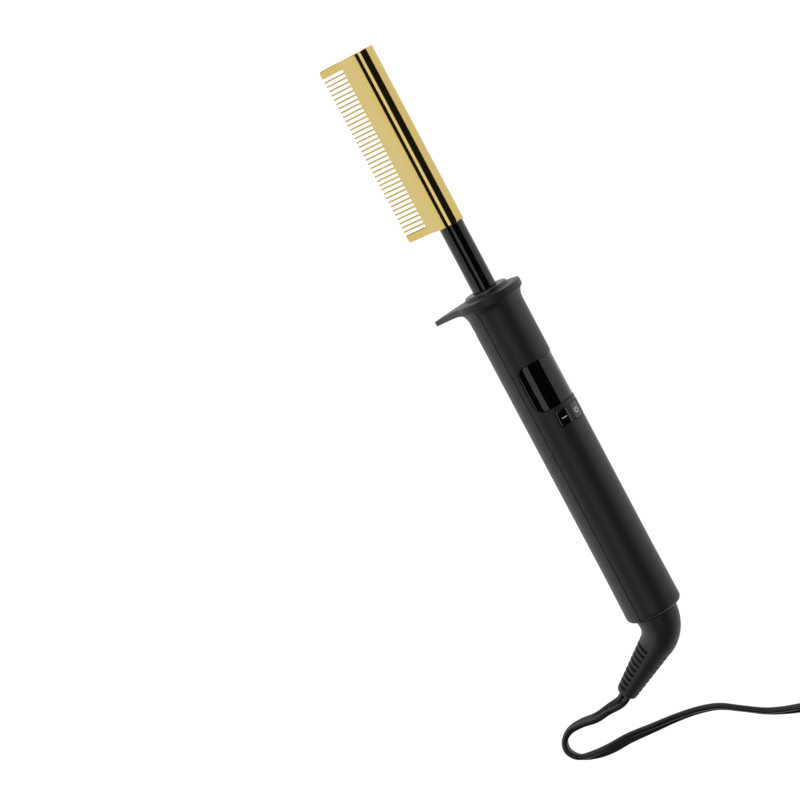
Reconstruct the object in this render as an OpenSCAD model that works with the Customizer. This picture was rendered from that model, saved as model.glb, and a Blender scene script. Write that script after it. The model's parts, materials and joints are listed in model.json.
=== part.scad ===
// Electric hot comb: a heated gold comb on a black neck, a round two-shell handle with a
// finger guard, a wrap-around display window, three push keys, and a swivelling mains lead.
// It lies on its side, on the guard's straight edge and the handle's end, with Z up.
// The tool itself is drawn along X, from the handle's end face at x = 0 to the comb's tip,
// with the keys facing +Z and the teeth facing -Z, and lay_down() then puts it to rest.

/* [Handle] */
// Diameter of the handle
handle_d = 28; // [26:0.5:31]
// Length from the handle's end face to the guard's front face
handle_l = 174; // [170:1:182]
// Diameter at the very end, where the handle flares a little
end_d = 28.6; // [28.4:0.2:29.6]
// Length of that slight flare
end_flare_l = 30; // [20:1:45]
// Rounding of the end's edge
end_round = 2.6; // [1.5:0.1:3.5]
// Wall of the two shells
wall = 2.4; // [2.2:0.1:2.8]
// How far the seam lies behind the handle's centre
seam_drop = 0.32; // [0:0.02:0.6]
// Width of the groove along the seam
seam_w = 0.4; // [0.2:0.05:0.6]
// Depth of the groove along the seam
seam_depth = 0.5; // [0.3:0.05:0.8]

/* [Finger guard] */
// Diameter of the guard's round flange
guard_d = 33.8; // [33:0.2:37]
// Thickness of the flange at its rim
guard_rim = 3.1; // [2.4:0.1:3.8]
// Rise of the flange's face from its rim to the collar
guard_dome = 0.9; // [0.4:0.1:1.4]
// Length of the flare from the handle to the flange
guard_flare_l = 6.3; // [5:0.1:8]
// Diameter of that flare where it meets the flange
guard_flare_d = 32.6; // [31.6:0.2:32.8]
// Reach of the pointed side of the guard from the axis
tab_reach = 33; // [30:0.5:37]
// Width of the pointed side at its end
tab_w = 8.5; // [7:0.25:11]
// Corner radius of the pointed side
tab_corner = 1; // [0.6:0.1:1.8]
// How far its end droops towards the handle
tab_droop = 2.3; // [1:0.1:3]
// Thickness at its end
tab_tip_t = 2.4; // [1.4:0.1:2.8]
// Radius of the fillet under it
tab_fillet = 5.5; // [4:0.1:6]

/* [Neck] */
// Outer diameter of the neck tube
neck_d = 12.1; // [11.5:0.1:12.5]
// Wall of the neck tube
neck_wall = 1.4; // [1.2:0.1:1.6]
// Length of neck that shows between the collar and the comb
neck_shows = 34.6; // [28:0.2:45]
// Depth of neck held inside the handle, below the guard's face
neck_held = 24; // [23.5:0.5:25]
// Diameter of the retaining ring at its inner end
neck_ring_d = 16; // [14.5:0.5:17]
// Thickness of the retaining ring
neck_ring_t = 2; // [1.5:0.1:2.2]
// Diameter of the heat-proof collar
collar_d = 21.9; // [20.5:0.1:23]
// Height of the collar above the guard's rim
collar_rise = 2.4; // [2:0.1:3]
// Diameter of the collar's spigot inside the guard
collar_spigot_d = 18; // [16:0.5:19]
// Depth of that spigot
collar_spigot_l = 8; // [6:0.5:9]

/* [Comb] */
// Length of the comb
comb_l = 91.5; // [75:0.5:110]
// Diameter of the comb's round back
spine_d = 13.6; // [13.4:0.1:15]
// Thickness of the comb plate where the teeth start
plate_t = 2.2; // [1.8:0.1:2.8]
// Thickness of the teeth at their ends
tooth_tip_t = 1.2; // [0.8:0.1:1.6]
// Reach of the teeth from the axis
tooth_reach = 26.4; // [24:0.2:30]
// Distance of the slots' inner ends from the axis
slot_root = 12.7; // [12:0.1:15]
// Width of a slot between two teeth
slot_w = 1.42; // [1:0.02:1.6]
// Distance from one tooth to the next
slot_pitch = 2.283; // [2:0.01:3]
// Least width of the solid guard tooth at each end
guard_tooth = 3.9; // [3:0.1:6]
// Corner radius at the comb's two outer corners
comb_corner = 1.3; // [0.6:0.1:2.5]
// Depth of the socket that takes the neck
socket_l = 10; // [8:0.5:14]

/* [Heater] */
// Diameter of the heater rod
heater_d = 5; // [4:0.1:5.4]
// Length of the heater rod
heater_l = 68; // [40:1:74]
// Diameter of the temperature sensor
sensor_d = 1.6; // [1.2:0.1:1.8]
// Length of the temperature sensor
sensor_l = 8; // [5:0.5:12]
// Distance of the sensor from the axis
sensor_offset = 3.9; // [3.7:0.1:4]
// Diameter of the thermal fuse
fuse_d = 2.8; // [2.2:0.1:2.9]
// Length of the thermal fuse
fuse_l = 10; // [7:0.5:14]
// Diameter of the heater's two wires
heater_wire_d = 1.4; // [1:0.1:1.5]
// Diameter of the sensor's two wires
sensor_wire_d = 0.7; // [0.5:0.05:0.8]

/* [Display] */
// Distance from the display window to the guard's face
lens_set_back = 37.4; // [34.5:0.1:37.8]
// Length of the display window
lens_l = 23.8; // [20:0.1:25]
// Angle from the front to each side edge of the window
lens_half_angle = 80; // [60:1:82]
// Corner radius of the window
lens_corner = 5; // [2:0.5:7]
// Thickness of the window
lens_t = 1.5; // [1.2:0.1:1.6]
// How far the window lies below the handle's surface
lens_recess = 0.25; // [0.1:0.05:0.4]
// Width of the ledge that the window sits on
lens_ledge = 1.5; // [1:0.1:2]
// Length, width and thickness of the display module
lcd_l = 21; // [16:0.5:22]
// Width of the display module
lcd_w = 15; // [12:0.5:15.5]
// Thickness of the display module
lcd_t = 2.2; // [1.6:0.1:2.6]

/* [Keys] */
// Distance from the keys to the display window
key_set_back = 2.3; // [1.8:0.1:3.6]
// Length of a key along the handle
key_l = 8; // [7:0.1:8.6]
// Angle that a key covers round the handle
key_arc = 28.5; // [22:0.5:30]
// Angle from one key to the next
key_pitch = 34; // [33:0.5:36]
// How far a key stands above the handle
key_proud = 0.2; // [0.1:0.05:0.6]
// Corner radius of a key
key_corner = 1.2; // [0.6:0.1:2]
// Gap round each key
key_gap = 0.15; // [0.1:0.01:0.25]
// Width of the lip that keeps a key in
key_lip = 0.6; // [0.4:0.05:0.8]
// Travel of a key
key_travel = 0.4; // [0.2:0.05:0.5]
// Width of a switch under a key
switch_w = 4.6; // [4:0.1:4.8]
// Height of a switch
switch_h = 1.6; // [1.4:0.1:2]
// Diameter of a switch's stem
stem_d = 2.2; // [1.6:0.1:2.4]

/* [Circuit board] */
// Distance from the board to the neck's inner end
board_set_back = 2; // [2:0.5:4]
// Length of the board
board_l = 78; // [76:0.5:79]
// Width of the board
board_w = 20; // [19.6:0.1:20.6]
// Thickness of the board
board_t = 1.6; // [1:0.1:2]
// Height of the board's upper face above the axis
board_top = 0.6; // [0:0.1:1]
// Diameter of the board screws
board_screw_d = 1.8; // [1.6:0.1:2]

/* [Case screws] */
// Diameter of the case screws
screw_d = 2.2; // [2:0.1:2.6]
// Diameter of their heads
screw_head_d = 4.2; // [3.8:0.1:4.6]
// Length of their shanks
screw_l = 12; // [10:0.5:13]

/* [Swivel and boot] */
// Diameter of the spindle where it turns in the bush
spindle_d = 15.9; // [14:0.1:16.4]
// Radial running clearance between the spindle and the bush
swivel_clearance = 0.05; // [0.02:0.01:0.1]
// Outer diameter of the bush
bush_d = 20.4; // [19.6:0.1:21]
// Length of the bush
bush_l = 3.5; // [2.5:0.1:4.5]
// Thickness of the handle's end wall
end_wall = 3; // [2.6:0.1:4]
// Diameter of the boot where it meets the handle
boot_root_d = 21.3; // [20:0.1:22.4]
// Diameter of the boot where its ribs start
boot_mid_d = 16.7; // [15:0.1:17.5]
// Diameter of the boot at its end
boot_tip_d = 10.4; // [9:0.1:11]
// Angle that the boot bends through
boot_bend = 56; // [40:1:70]
// Radius of that bend
boot_bend_r = 16.5; // [14:0.5:20]
// Length of smooth boot between the bend and the ribs
boot_plain_l = 1.5; // [1:0.5:6]
// Length of the ribbed part
boot_ribbed_l = 31.3; // [24:0.1:34]
// Distance from one rib to the next
rib_pitch = 3.2; // [2.6:0.05:3.4]
// Depth of the grooves between the ribs
rib_depth = 1.1; // [0.6:0.1:1.4]
// How far the boot points below the level, about the handle's axis
boot_dip = 13.5; // [8:0.5:14]

/* [Mains lead] */
// Width of the flat twin cord
cord_w = 6.1; // [5.4:0.1:6.4]
// Thickness of the flat twin cord
cord_t = 3.1; // [2.7:0.1:3.3]
// Radius of the coil's outermost turn
coil_r = 48.5; // [44:0.5:49]
// Whole turns in each of the coil's two layers
coil_turns = 3; // [2:1:3]
// Gap between turns that lie side by side
turn_gap = 0.6; // [0.5:0.05:0.9]
// Gap between the coil's two layers
layer_gap = 0.65; // [0.5:0.05:0.9]
// Width of the tie round the coil
tie_w = 7; // [4:0.5:10]
// Thickness of the tie
tie_t = 1.2; // [0.8:0.1:1.6]
// Width of the plug
plug_w = 24; // [22:0.5:28]
// Length of the plug's body
plug_l = 21; // [18:0.5:26]
// Length of the plug's tapered tail
plug_tail_l = 12; // [8:0.5:16]
// Distance between the plug's two blades
blade_pitch = 12.7; // [12.7]
// Width of the narrow blade
blade_w = 6.35; // [6.35]
// Width of the wide, neutral blade
blade_wide_w = 7.94; // [7.94]
// Thickness of the blades
blade_t = 1.5; // [1.5]
// Length of the blades
blade_l = 16; // [15:0.5:18]

/* [Hidden] */
$fn = 64;

// Clearances
fit = 0.05;          // between fixed pieces that slot together
rest_gap = 0.3;      // between a moving piece and what it rests against
overlap = 1;         // how far a cut runs past the face that it opens

// Handle and guard, as radii
handle_r = handle_d / 2;
end_r = end_d / 2;
guard_r = guard_d / 2;
flare_r = guard_flare_d / 2;
bore_r = handle_r - wall;
guard_back = handle_l - guard_rim;
flare_start = guard_back - guard_flare_l;
collar_seat_r = collar_d / 2 + rest_gap;
nose_l = 11;                        // solid front of the shells, round the collar
nose_start = handle_l - nose_l;
// Radius of the flare's hollow curve, and its slope where it meets the flange
flare_curve = (guard_flare_l * guard_flare_l + pow(flare_r - handle_r, 2))
    / (2 * (flare_r - handle_r));
flare_slope = asin(guard_flare_l / flare_curve);
// Fall of the guard's face for each millimetre away from the axis
face_fall = (guard_dome + tab_droop) / (tab_reach - collar_seat_r);

// Neck and comb, along the axis
collar_front = handle_l + collar_rise;
comb_start = collar_front + neck_shows;
comb_end = comb_start + comb_l;
neck_r = neck_d / 2;
neck_bore_r = neck_r - neck_wall;
neck_inner_end = handle_l - neck_held;
neck_ring_start = neck_inner_end + 2;
neck_ring_end = neck_ring_start + neck_ring_t;
rib_t = 1.4;                        // shell ribs that hold the neck's ring
socket_end = comb_start + socket_l;
spine_r = spine_d / 2;
spine_round = 0.8;                  // rounding of the comb's back at both ends
// Angle at which the comb's flanks leave its round back
flank_angle = asin(spine_r / norm([slot_root, plate_t / 2])) - atan(plate_t / 2 / slot_root);
flank_sink = 0.15;                  // how far the flanks start inside the round back
slot_count = floor((comb_l - 2 * guard_tooth - slot_w) / slot_pitch) + 1;
slot_first = comb_start + (comb_l - (slot_count - 1) * slot_pitch) / 2;

// Heater and wires
heater_start = socket_end + 1;
heater_end = heater_start + heater_l;
heater_wire_y = 1.1;
heater_wire_z = board_top + heater_wire_d / 2;
heater_wire_lap = 6;                // length of wire that lies on the board
fuse_start = comb_start - 15;
sensor_wire_y = 0.45;
sensor_bend = neck_inner_end + 8;   // where the sensor's wires turn up to the board

// Display
lens_r = handle_r - lens_recess;
lens_end = handle_l - lens_set_back;
lens_start = lens_end - lens_l;
lens_mid = lens_start + lens_l / 2;
holder_wall = 1.2;
holder_top = 6.8;
lcd_seat = 4.9;                     // height of the display module's underside

// Board
board_bottom = board_top - board_t;
board_end = neck_inner_end - board_set_back;
board_start = board_end - board_l;
post_places = [[board_start + 24, 0], [board_end - 4, 7], [board_end - 4, -7]];
post_d = 4.4;
mains_wire_y = board_w * 0.27;
board_screw_l = 6;
board_screw_head_d = 3.4;
board_screw_head_h = 1.2;

// Keys: what moves under each
key_start = lens_start - key_set_back - key_l;
key_mid = key_start + key_l / 2;
key_r = handle_r + key_proud;
key_angles = [key_pitch, 0, -key_pitch];
lip_t = 1;
lip_r = bore_r - rest_gap;
lip_floor = 4.2;                    // nothing of a cap reaches lower than this
switch_y = 7.4;                     // switches under the two outer keys
switch_top = board_top + switch_h;
stem_top = switch_top + 0.9;
stem_low = switch_top - 0.5;
stem_play = 0.1;

// Case screws: [x, y] of each
screw_places = [[28, 0], [board_start - 12, 0], [nose_start - 3.4, 8.7], [nose_start - 3.4, -8.7]];
front_boss_d = 5.2;
rear_boss_d = screw_head_d + 3;
screw_head_h = 1.6;
screw_head_z = -6.2;                // where the heads sit
screw_play = 0.2;                   // round the shanks and heads in the rear shell
skin = 0.6;                         // least plastic left outside a boss

// Swivel, along the axis
boot_gap = 0.3;                     // between the boot and the handle's end face
bush_start = end_wall;
bush_end = bush_start + bush_l;
spindle_r = spindle_d / 2;
spindle_flange_r = spindle_r + 1.45;
spindle_flange_start = bush_end + 0.1;
hub_start = spindle_flange_start + 1.5;
hub_r = 5.2;
hub_l = 10.4;
hub_end = hub_start + hub_l;
hub_bore_r = 3.2;
ring_r = 6.4;
ring_l = 2.5;
ring_starts = [hub_end - 9, hub_end - 4.5];
brush_top = -(ring_r + 0.15);       // upper face of the contact springs
brush_t = 0.4;
brush_l = 1.8;
brush_foot = 4.5;                   // half the span of a contact spring
brush_holder_top = -8;
brush_holder_half = 6;

// How the tool lies: rolled onto the guard's straight edge and pitched onto the handle's end
tab_tip = tab_reach - tab_corner;
tab_half = tab_w / 2 - tab_corner;
tab_far = norm([tab_tip, tab_half]);
edge_angle = asin((guard_r - tab_corner) / tab_far) - atan(tab_half / tab_tip);
rest_roll = 90 - edge_angle;
rest_pitch = asin((guard_r - end_r) / (guard_back - end_round));
rest_height = end_r * cos(rest_pitch) - end_round * sin(rest_pitch);
// Middle of the tool's own box, seen from above
rest_x_low = -boot_gap * cos(rest_pitch) - spindle_r * sin(rest_pitch);
rest_x_high = comb_end * cos(rest_pitch) + spine_r * sin(rest_pitch);
rest_y_high = tab_tip * cos(edge_angle) + tab_half * sin(edge_angle) + tab_corner;
rest_x_mid = (rest_x_low + rest_x_high) / 2;
rest_y_mid = (rest_y_high - guard_r) / 2;

// Boot: how it bends, in its own plane, with X along the handle and Y to its side
boot_straight = 1.5;
boot_arc_mid = [-boot_gap - boot_straight, boot_bend_r];
boot_run = [-cos(boot_bend), sin(boot_bend)];
boot_arc_end = boot_arc_mid + boot_bend_r * [-sin(boot_bend), -cos(boot_bend)];
boot_tip = boot_arc_end + (boot_plain_l + boot_ribbed_l) * boot_run;
rib_count = floor((boot_ribbed_l - 1) / rib_pitch);
rib_side = 60;                      // half the angle that a rib covers on each side
rib_turn = 25;                      // how far the ribs are turned about the boot
boot_sides = 24;
boot_arc_steps = 10;

// Mains lead: the free stretch's own points, in the frame that the tool lies in. Each is
// [x, y, lift, tilt]: lift is its height above where it would lie on the table, and tilt
// is how far the cord's flat side is turned up on edge.
route = [
    [-189.5, 39, 1, 55], [-191, 46.5, 0, 62], [-190.5, 54.5, 0, 75], [-191.5, 61.5, 0, 86],
    [-195.2, 66.2, 0, 90], [-200.8, 67.3, 0, 88], [-205.8, 63.5, 0, 74], [-208, 56, 0, 42],
    [-208.5, 47, 0, 18], [-207.5, 36.5, 0, 20], [-207.5, 23.5, 0, 36], [-207.5, 11, 0, 48],
    [-208.5, -1, 0, 55], [-211, -11, 0, 60], [-216.5, -20.5, 0, 66], [-223, -31.5, 0, 60],
    [-227.5, -44, 0, 42], [-232, -62, 0, 15], [-238, -84, 0, 0]
];
cord_steps = 3;                     // rings from one point of the route to the next
cord_lobe = cord_t / 2;
cord_offset = (cord_w - cord_t) / 2;
cord_floor = 0.05;                  // room between the cord and the table
cord_groove = 0.7;                  // half the cord's thickness at its groove, as a share

// Coil: it winds in on the table, climbs at its inner turn, and winds out again on top
coil_mid = [-198, -120.5];
coil_start_angle = 175;
coil_leaves = 105;                  // angle from where the coil starts to where it ends
coil_pitch = cord_w + turn_gap;
coil_layer = cord_t + layer_gap;
coil_line_r = coil_r - cord_w / 2;
layer_sweep = 360 * coil_turns + coil_leaves / 2;
climb_sweep = 45;
coil_sweep = 2 * layer_sweep;
coil_end_angle = coil_start_angle + coil_leaves;
coil_step = 15;
coil_low = cord_lobe + cord_floor;
coil_tail_l = 26;                   // straight end of the coil, before the plug
tie_turn = 270;                     // turn from the coil's start to the tie
tie_angle = coil_start_angle + tie_turn;
tie_play = 0.45;
tie_lift = tie_t + cord_floor;      // how far the turns rise over the tie
plug_t = 2 * (coil_low + coil_layer);
plug_round = 2.5;

/* ---------- plain helpers ---------- */

// A solid turned round the X axis, from its outline of [radius, x] points
module turned(outline) {
    rotate([0, 90, 0]) rotate_extrude() polygon(outline);
}

// A rod along X
module rod(x0, x1, r, y = 0, z = 0) {
    translate([x0, y, z]) rotate([0, 90, 0]) cylinder(r = r, h = x1 - x0);
}

// A box between two corners
module block(low, high) {
    translate(low) cube(high - low);
}

// A flat outline in Y and Z, drawn out along X
module along_x(x0, x1) {
    translate([x0, 0, 0]) rotate([90, 0, 90]) linear_extrude(x1 - x0) children();
}

// Points of an arc
function arc(mid, r, a0, a1, n = 8) =
    [for (i = [0:n]) mid + r * [cos(a0 + (a1 - a0) * i / n), sin(a0 + (a1 - a0) * i / n)]];

// A rounded rectangle
module rounded(low, high, r) {
    translate(low + [r, 0]) square([high[0] - low[0] - 2 * r, high[1] - low[1]]);
    translate(low + [0, r]) square([high[0] - low[0], high[1] - low[1] - 2 * r]);
    for (x = [low[0] + r, high[0] - r], y = [low[1] + r, high[1] - r])
        translate([x, y]) circle(r);
}

// A straight wire from one point to another
module wire(from, to, d) {
    run = to - from;
    translate(from)
        rotate([0, acos(run[2] / norm(run)), atan2(run[1], run[0])])
            cylinder(d = d, h = norm(run));
}

// A closed tube through rings of points, with a triangle fan on each end
module tube(rings) {
    n = len(rings[0]);
    last = len(rings) - 1;
    points = concat(
        [for (ring = rings, p = ring) p],
        [centre(rings[0]), centre(rings[last])]
    );
    walls = [
        for (i = [0:last - 1], j = [0:n - 1], half = [0, 1])
            let (a = i * n + j, b = i * n + (j + 1) % n)
                half == 0 ? [a, a + n, b] : [b, a + n, b + n]
    ];
    caps = [
        for (j = [0:n - 1], end = [0, 1])
            let (a = end * last * n + j, b = end * last * n + (j + 1) % n)
                end == 0 ? [a, b, last * n + n] : [b, a, last * n + n + 1]
    ];
    polyhedron(points, concat(walls, caps));
}

function centre(ring) = [for (k = [0:2]) sum([for (p = ring) p[k]]) / len(ring)];
function sum(v, i = 0) = i < len(v) ? v[i] + sum(v, i + 1) : 0;

/* ---------- how the tool lies ---------- */

module lay_down() {
    translate([-rest_x_mid, -rest_y_mid, rest_height])
        rotate([0, -rest_pitch, 0])
            rotate([rest_roll, 0, 0]) children();
}

// The same pitch and shift for a point that has been rolled already
function pitched(p) = [
    p[0] * cos(rest_pitch) - p[2] * sin(rest_pitch),
    p[1],
    p[0] * sin(rest_pitch) + p[2] * cos(rest_pitch)
];
function laid(p) = pitched(p) + [-rest_x_mid, -rest_y_mid, rest_height];

/* ---------- handle ---------- */

// Outside of the handle under the guard's flange, drawn in by some depth
function handle_outline(depth = 0) = concat(
    [[0, depth], [end_r - end_round, depth]],
    arc([end_r - end_round, end_round], end_round - depth, -90, 0),
    [[handle_r - depth, end_flare_l]],
    arc([handle_r + flare_curve, flare_start], flare_curve + depth, 180, 180 - flare_slope),
    [[0, guard_back]]
);

// The guard's outline, drawn in by some depth: a disc drawn out to a blunt point
module guard_outline(depth = 0) {
    start = (guard_r - depth - 0.2) * [cos(edge_angle), -sin(edge_angle)];
    bend = arc([tab_half, -tab_tip], tab_corner - depth, -edge_angle, -90, 4);
    half = concat([start], bend);
    circle(guard_r - depth);
    polygon(concat(half, [for (i = [len(half) - 1:-1:0]) [-half[i][0], half[i][1]]]));
}

function face_x(r) = handle_l + guard_dome - (r - collar_seat_r) * face_fall;

module guard() {
    far = tab_reach + overlap;
    back_tip = face_x(tab_reach) - tab_tip_t;
    back_far = back_tip + (back_tip - guard_back) / (tab_reach - guard_r) * overlap;
    intersection() {
        along_x(back_far - overlap, handle_l + guard_dome + overlap) guard_outline();
        turned([
            [0, guard_back], [guard_r, guard_back], [far, back_far], [far, face_x(far)],
            [collar_seat_r, face_x(collar_seat_r)], [0, face_x(collar_seat_r)]
        ]);
    }
}

// Fillet between the handle's flare and the guard's back
module guard_fillet() {
    run = tab_fillet * tan(45 - flare_slope / 2);
    mid = [flare_r + run, guard_back - tab_fillet];
    intersection() {
        along_x(flare_start, guard_back + 0.2) guard_outline(guard_r - flare_r);
        turned(concat(
            arc(mid, tab_fillet, 90, 180 - flare_slope),
            [[handle_r - wall, flare_start + 1], [handle_r - wall, guard_back + 0.2],
             [mid[0], guard_back + 0.2]]
        ));
    }
}

// Everything that is hollow along the axis, as one turned solid
module handle_bore() {
    opening_r = spindle_r + 0.65;
    bush_seat_r = bush_d / 2 + fit;
    lip_r_in = spindle_flange_r + rest_gap;
    lip_end = bush_end + 1;
    neck_hole_r = neck_r + fit;
    rib_low = neck_ring_start - fit - rib_t;
    rib_high = neck_ring_end + fit;
    spigot_start = handle_l - collar_spigot_l;
    turned([
        [0, -overlap], [opening_r, -overlap], [opening_r, bush_start],
        [bush_seat_r, bush_start], [bush_seat_r, bush_end],
        [lip_r_in, bush_end], [lip_r_in, lip_end],
        [bore_r, lip_end], [bore_r, rib_low],
        [neck_hole_r, rib_low], [neck_hole_r, rib_low + rib_t],
        [bore_r, rib_low + rib_t], [bore_r, rib_high],
        [neck_hole_r, rib_high], [neck_hole_r, rib_high + rib_t],
        [bore_r, rib_high + rib_t], [bore_r, nose_start],
        [neck_hole_r, nose_start], [neck_hole_r, spigot_start],
        [collar_spigot_d / 2 + fit, spigot_start], [collar_spigot_d / 2 + fit, handle_l],
        [collar_seat_r, handle_l], [collar_seat_r, handle_l + guard_dome + overlap],
        [0, handle_l + guard_dome + overlap]
    ]);
}

module hollow_handle() {
    difference() {
        union() {
            turned(handle_outline());
            guard();
            guard_fillet();
        }
        handle_bore();
    }
}

// Groove that shows along the seam
module seam_groove(low, high) {
    difference() {
        block([0, -guard_r, low], [guard_back, guard_r, high]);
        turned(handle_outline(seam_depth));
    }
}

// Keeps what lies inside the handle's skin
module within_skin() {
    intersection() {
        children();
        turned(handle_outline(skin));
    }
}

module front_shell() color("#2b2c2e") lay_down() {
    difference() {
        union() {
            intersection() {
                hollow_handle();
                block([-overlap, -guard_r - 1, -seam_drop], [handle_l + 2, guard_r + 1, guard_r + 1]);
            }
            within_skin() for (p = screw_places)
                translate([p[0], p[1], -seam_drop]) cylinder(d = front_boss_d, h = handle_r);
            within_skin() for (p = post_places)
                translate([p[0], p[1], board_top]) cylinder(d = post_d, h = handle_r);
        }
        for (p = screw_places)
            translate([p[0], p[1], -overlap]) cylinder(r = screw_d / 2 + fit, h = screw_l - 4);
        for (p = post_places)
            translate([p[0], p[1], 0]) cylinder(r = board_screw_d / 2 + fit, h = board_screw_l);
        seam_groove(-seam_drop - 1, -seam_drop + seam_w / 2);
        window(lens_start - fit, lens_end + fit, lens_half_angle + 0.2, lens_corner,
            lens_r - lens_t - fit, handle_r + overlap);
        window(lens_start + lens_ledge, lens_end - lens_ledge, lens_half_angle - 6,
            lens_corner - lens_ledge, 0, handle_r);
        for (i = [0:2]) key_prism(i, key_gap);
    }
}

module rear_shell() color("#2b2c2e") lay_down() {
    difference() {
        union() {
            intersection() {
                hollow_handle();
                block([-overlap, -guard_r - 1, -tab_reach - 1], [handle_l + 2, guard_r + 1, -seam_drop]);
            }
            within_skin() difference() {
                for (p = screw_places) translate([p[0], p[1], -handle_r])
                    cylinder(d = rear_boss_d, h = handle_r - seam_drop);
                rod(neck_inner_end - overlap, nose_start + overlap, neck_r + rest_gap);
            }
        }
        for (p = screw_places) translate([p[0], p[1], -handle_r - overlap]) {
            cylinder(r = screw_d / 2 + screw_play, h = handle_r + 2 * overlap);
            cylinder(r = screw_head_d / 2 + screw_play, h = handle_r + overlap + screw_head_z);
        }
        seam_groove(-seam_drop - seam_w / 2, -seam_drop + 1);
    }
}

// Screw with a cross in its head, pointing up from z = 0, where its head's underside sits
module screw(d, head_d, head_h, l) {
    cross_w = d * 0.3;
    difference() {
        union() {
            translate([0, 0, -head_h]) cylinder(d = head_d, h = head_h);
            cylinder(d = d, h = l);
        }
        for (turn = [0, 90]) rotate([0, 0, turn])
            translate([-d / 2, -cross_w / 2, -head_h - overlap]) cube([d, cross_w, overlap + 0.7]);
    }
}

module case_screws() color("#8d9094") lay_down()
    for (p = screw_places) translate([p[0], p[1], screw_head_z])
        screw(screw_d, screw_head_d, screw_head_h, screw_l);

/* ---------- neck and comb ---------- */

module neck_tube() color("#151516") lay_down() difference() {
    union() {
        rod(neck_inner_end, socket_end, neck_r);
        rod(neck_ring_start, neck_ring_end, neck_ring_d / 2);
    }
    rod(neck_inner_end - overlap, socket_end + overlap, neck_bore_r);
}

module neck_collar() color("#1c1c1d") lay_down() difference() {
    edge = 0.8;
    r = collar_d / 2;
    turned(concat(
        [[0, handle_l - collar_spigot_l], [collar_spigot_d / 2, handle_l - collar_spigot_l],
         [collar_spigot_d / 2, handle_l], [r, handle_l]],
        arc([r - edge, collar_front - edge], edge, 0, 90),
        [[0, collar_front]]
    ));
    rod(nose_start, collar_front + overlap, neck_r + fit);
}

// The comb without its corners or holes: a round back whose flanks run into a thin plate
module comb_blank() {
    flank = (spine_r - flank_sink) * [cos(flank_angle), -sin(flank_angle)];
    rod(comb_start, comb_end, spine_r);
    along_x(comb_start, comb_end) polygon([
        flank, [plate_t / 2, -slot_root], [tooth_tip_t / 2, -tooth_reach],
        [-tooth_tip_t / 2, -tooth_reach], [-plate_t / 2, -slot_root], [-flank[0], flank[1]]
    ]);
}

// The comb seen from its side, with its corners rounded
module comb_side() {
    low = -tooth_reach;
    polygon(concat(
        arc([comb_start + comb_corner, low + comb_corner], comb_corner, 180, 270),
        arc([comb_end - comb_corner, low + comb_corner], comb_corner, 270, 360),
        arc([comb_end - spine_round, spine_r - spine_round], spine_round, 0, 90),
        arc([comb_start + spine_round, spine_r - spine_round], spine_round, 90, 180)
    ));
}

module comb_head() color("#cdb06f") lay_down() difference() {
    intersection() {
        comb_blank();
        translate([0, spine_r + 1, 0]) rotate([90, 0, 0]) linear_extrude(2 * spine_r + 2) comb_side();
    }
    rod(comb_start - overlap, socket_end, neck_r + fit);
    rod(socket_end - overlap, heater_end, heater_d / 2 + fit);
    rod(socket_end - overlap, socket_end + sensor_l, sensor_d / 2 + fit, 0, -sensor_offset);
    for (i = [0:slot_count - 1]) translate([slot_first + i * slot_pitch, 0, 0]) {
        block([-slot_w / 2, -spine_r, -tooth_reach - overlap],
            [slot_w / 2, spine_r, -slot_root - slot_w / 2]);
        translate([0, spine_r, -slot_root - slot_w / 2]) rotate([90, 0, 0])
            cylinder(d = slot_w, h = 2 * spine_r, $fn = 24);
    }
}

/* ---------- heater and its wires ---------- */

module heater_rod() color("#c9ccd0") lay_down() rod(heater_start, heater_end, heater_d / 2);

module temperature_sensor() color("#b8bcc2") lay_down()
    rod(socket_end, socket_end + sensor_l, sensor_d / 2, 0, -sensor_offset);

module thermal_fuse() color("#e8e4d8") lay_down()
    rod(fuse_start, fuse_start + fuse_l, fuse_d / 2, heater_wire_y, heater_wire_z);

module heater_wires() color("#f2f0ea") lay_down() {
    r = heater_wire_d / 2;
    start = board_end - heater_wire_lap;
    rod(start, heater_start, r, -heater_wire_y, heater_wire_z);
    rod(start, fuse_start, r, heater_wire_y, heater_wire_z);
    rod(fuse_start + fuse_l, heater_start, r, heater_wire_y, heater_wire_z);
}

module sensor_wires() color("#7d3c2c") lay_down() {
    r = sensor_wire_d / 2;
    for (side = [-1, 1]) {
        y = side * sensor_wire_y;
        rod(sensor_bend, socket_end, r, y, -sensor_offset);
        wire([sensor_bend, y, -sensor_offset], [board_end - 2, y, board_bottom - r], sensor_wire_d);
    }
}

/* ---------- display ---------- */

// A curved window round the handle, with rounded corners
module window(x0, x1, half_angle, corner, r_in, r_out) {
    turn = asin(corner / lens_r);
    steps = 6;
    bend = arc([0, 0], corner, 0, 90, steps);
    // What a corner loses, a little past the window's edges at both ends of the bend
    low = bend[0] + 0.3 * (bend[0] - bend[1]);
    high = bend[steps] + 0.3 * (bend[steps] - bend[steps - 1]);
    far = corner + 2;
    lost = concat(
        [low], [for (i = [1:steps - 1]) bend[i]],
        [high, [high[0], far], [far, far], [far, low[1]]]
    );
    difference() {
        intersection() {
            wedge(x0, x1, half_angle);
            rod(x0 - overlap, x1 + overlap, r_out);
        }
        if (r_in > 0) rod(x0 - overlap, x1 + overlap, r_in);
        for (side = [-1, 1], end = [-1, 1]) rotate([side * (turn - half_angle), 0, 0])
            translate([end > 0 ? x1 - corner : x0 + corner, 0, 0])
                linear_extrude(2 * handle_r) polygon([for (p = lost) [end * p[0], side * p[1]]]);
    }
}

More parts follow.
